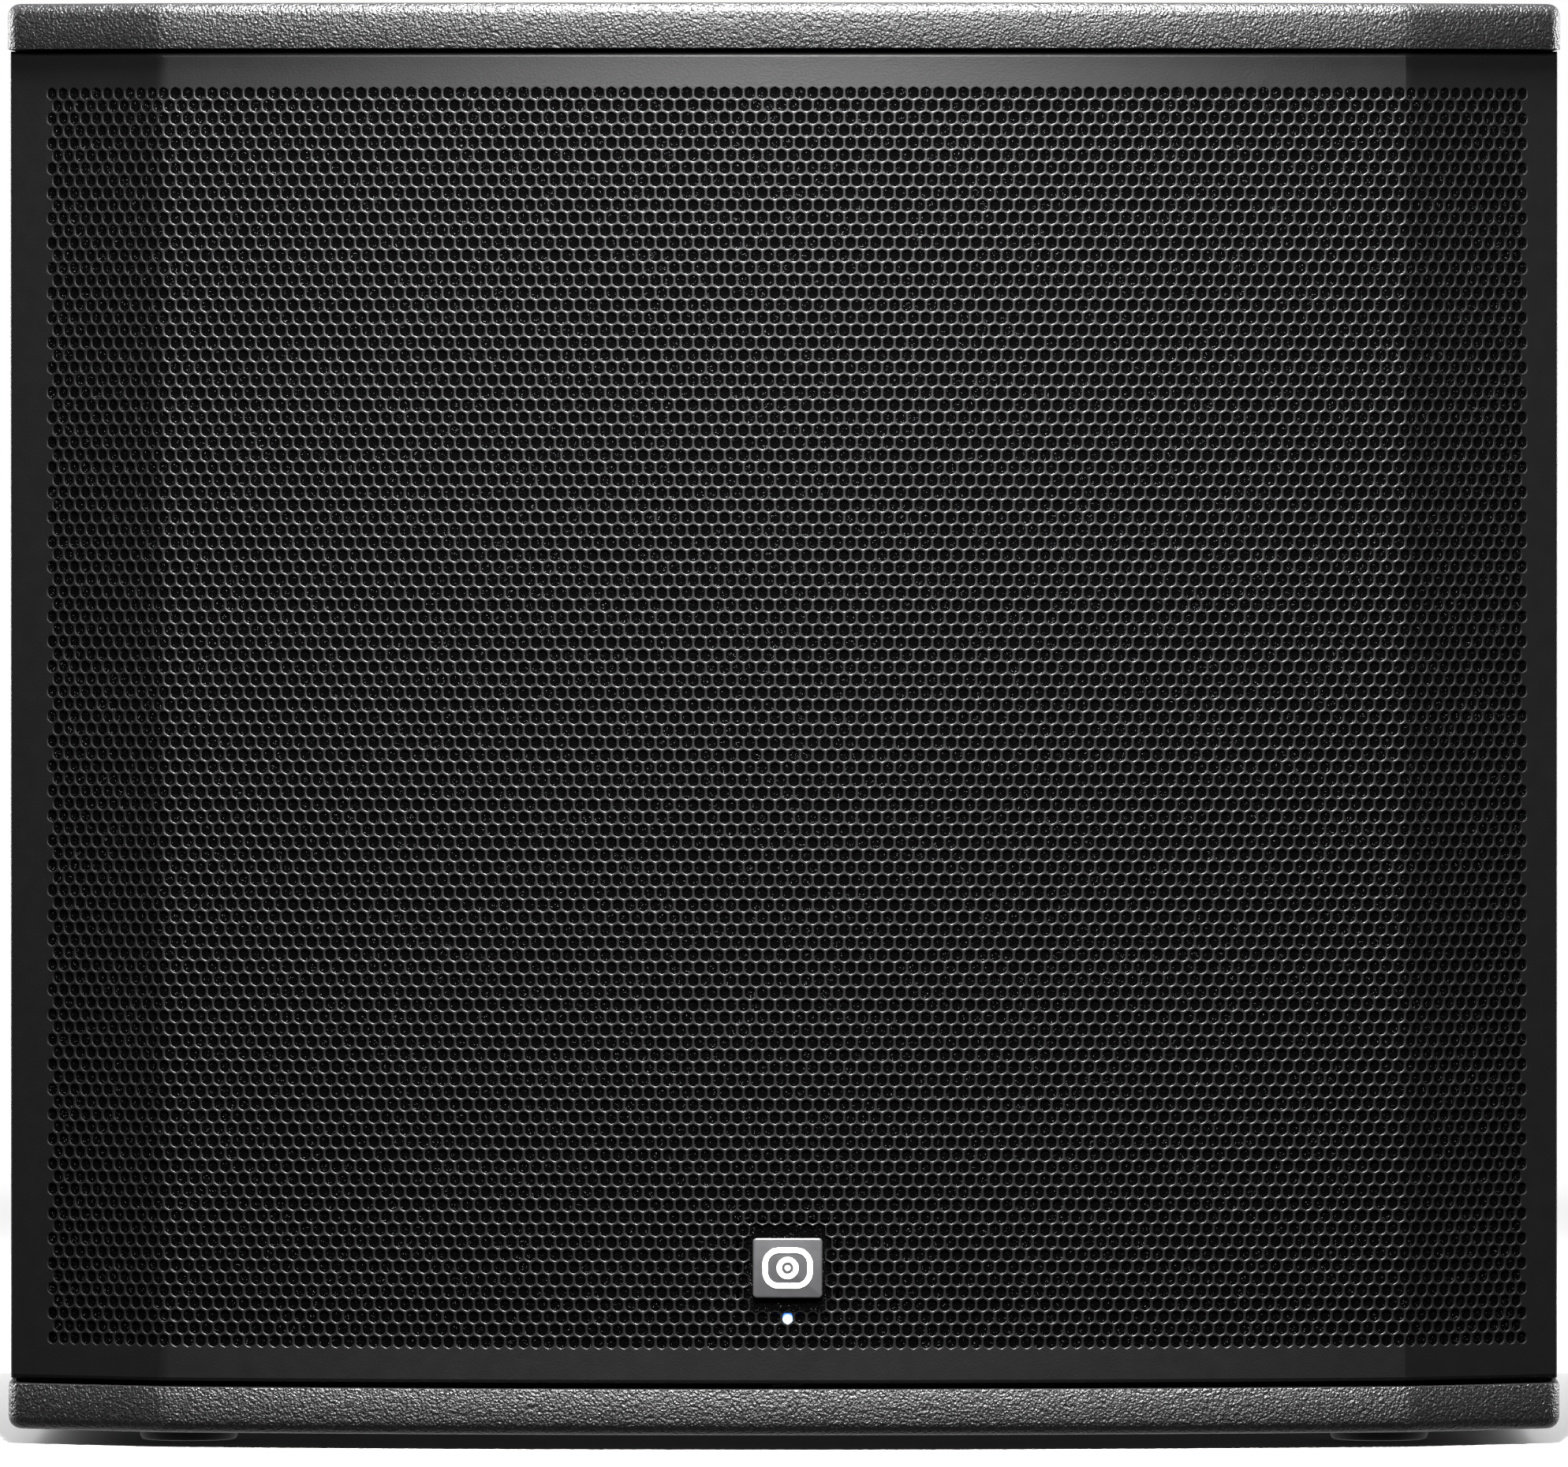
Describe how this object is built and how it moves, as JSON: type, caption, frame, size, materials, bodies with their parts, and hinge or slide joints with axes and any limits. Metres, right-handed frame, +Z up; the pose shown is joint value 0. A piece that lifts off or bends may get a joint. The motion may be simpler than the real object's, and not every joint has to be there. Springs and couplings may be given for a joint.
{
  "type": "subwoofer cabinet",
  "caption": "Floor-standing powered subwoofer: bowed perforated steel grille between rounded plywood boards, bar handles, pole socket and a rear plate amplifier.",
  "frame": {"origin": "on the floor under the middle of the cabinet's box", "axes": "+Z up, +Y from the grille to the rear amplifier (the grille faces -Y), +X to the viewer's right when facing the grille"},
  "size_m": [0.61, 0.65, 0.566],
  "materials": {
    "painted_board": "textured water-based paint, satin",
    "bare_plywood": "sanded birch plywood",
    "powder_coated_steel": "fine powder coat, satin",
    "acoustic_foam": "open-cell reticulated foam",
    "moulded_plastic": "moulded, fine grain",
    "badge_plate": "satin dark grey",
    "lamp_lens": "clear light pipe, lit blue-white",
    "foot_rubber": "matt moulded rubber",
    "black_steel": "black zinc plated",
    "zinc_steel": "zinc plated sheet",
    "cast_aluminium": "die cast, black painted",
    "anodised_aluminium": "black anodised, satin",
    "cone_paper": "fibrous paper pulp",
    "treated_cloth": "doped woven cloth",
    "ferrite": "ground ceramic",
    "circuit_board": "solder resist",
    "winding": "enamelled copper",
    "lead_jacket": "soft cable jacket",
    "control_plastic": "moulded, satin"
  },
  "bodies": {
    "cabinet": {"amp_box": "zinc_steel", "amp_gasket": "acoustic_foam", "amp_plate": "anodised_aluminium", "back_panel": "painted_board", "badge": "badge_plate", "badge_carrier": "moulded_plastic", "baffle": "painted_board", "bottom_panel": "painted_board", "combo_input_1": "moulded_plastic", "combo_input_2": "moulded_plastic", "foot_front_left": "foot_rubber", "foot_front_right": "foot_rubber", "foot_rear_left": "foot_rubber", "foot_rear_right": "foot_rubber", "grille": "powder_coated_steel", "grille_foam": "acoustic_foam", "handle_left": "moulded_plastic", "handle_right": "moulded_plastic", "heatsink": "anodised_aluminium", "led_holder": "moulded_plastic", "led_lens": "lamp_lens", "left_panel": "painted_board", "link_output_1": "moulded_plastic", "link_output_2": "moulded_plastic", "magnet": "ferrite", "main_board": "circuit_board", "mains_inlet": "moulded_plastic", "pole_socket": "black_steel", "port_lower_left": "moulded_plastic", "port_lower_right": "moulded_plastic", "port_upper_left": "moulded_plastic", "port_upper_right": "moulded_plastic", "right_panel": "painted_board", "speaker_lead": "lead_jacket", "spider": "treated_cloth", "surround": "treated_cloth", "terminal_block": "moulded_plastic", "top_panel": "painted_board", "top_plate": "black_steel", "transformer": "winding", "window_brace": "bare_plywood", "woofer_bolt_1": "black_steel", "woofer_bolt_2": "black_steel", "woofer_bolt_3": "black_steel", "woofer_bolt_4": "black_steel", "woofer_bolt_5": "black_steel", "woofer_bolt_6": "black_steel", "woofer_bolt_7": "black_steel", "woofer_bolt_8": "black_steel", "woofer_frame": "cast_aluminium", "yoke": "black_steel"},
    "moving_cone": {"cone": "cone_paper", "dust_cap": "cone_paper", "voice_coil": "winding"},
    "level_knob": {"level_knob": "control_plastic"},
    "polarity_button": {"polarity_button": "control_plastic"},
    "highpass_button": {"highpass_button": "control_plastic"},
    "power_switch": {"power_switch": "control_plastic"},
    "release_tab_1": {"release_tab_1": "zinc_steel"},
    "release_tab_2": {"release_tab_2": "zinc_steel"}
  },
  "joints": [
    {"name": "cone_travel", "type": "slide", "parent": "cabinet", "child": "moving_cone", "axis": [0, -1, 0], "range_m": [-0.01, 0.01], "stiffness_N_per_m": 8500, "deforming": ["surround", "spider"]},
    {"name": "level_turn", "type": "hinge", "parent": "cabinet", "child": "level_knob", "pos_m": [0.008, 0.3056, 0.246], "axis": [0, -1, 0], "range_deg": [-150, 150]},
    {"name": "polarity_press", "type": "slide", "parent": "cabinet", "child": "polarity_button", "axis": [0, -1, 0], "range_m": [0, 0.002], "stiffness_N_per_m": 200},
    {"name": "highpass_press", "type": "slide", "parent": "cabinet", "child": "highpass_button", "axis": [0, -1, 0], "range_m": [0, 0.002], "stiffness_N_per_m": 200},
    {"name": "power_rock", "type": "hinge", "parent": "cabinet", "child": "power_switch", "pos_m": [0.066, 0.3064, 0.173], "axis": [0, 0, 1], "range_deg": [-16, 0]},
    {"name": "release_press_1", "type": "slide", "parent": "cabinet", "child": "release_tab_1", "axis": [0, -1, 0], "range_m": [0, 0.0015], "stiffness_N_per_m": 300},
    {"name": "release_press_2", "type": "slide", "parent": "cabinet", "child": "release_tab_2", "axis": [0, -1, 0], "range_m": [0, 0.0015], "stiffness_N_per_m": 300}
  ]
}
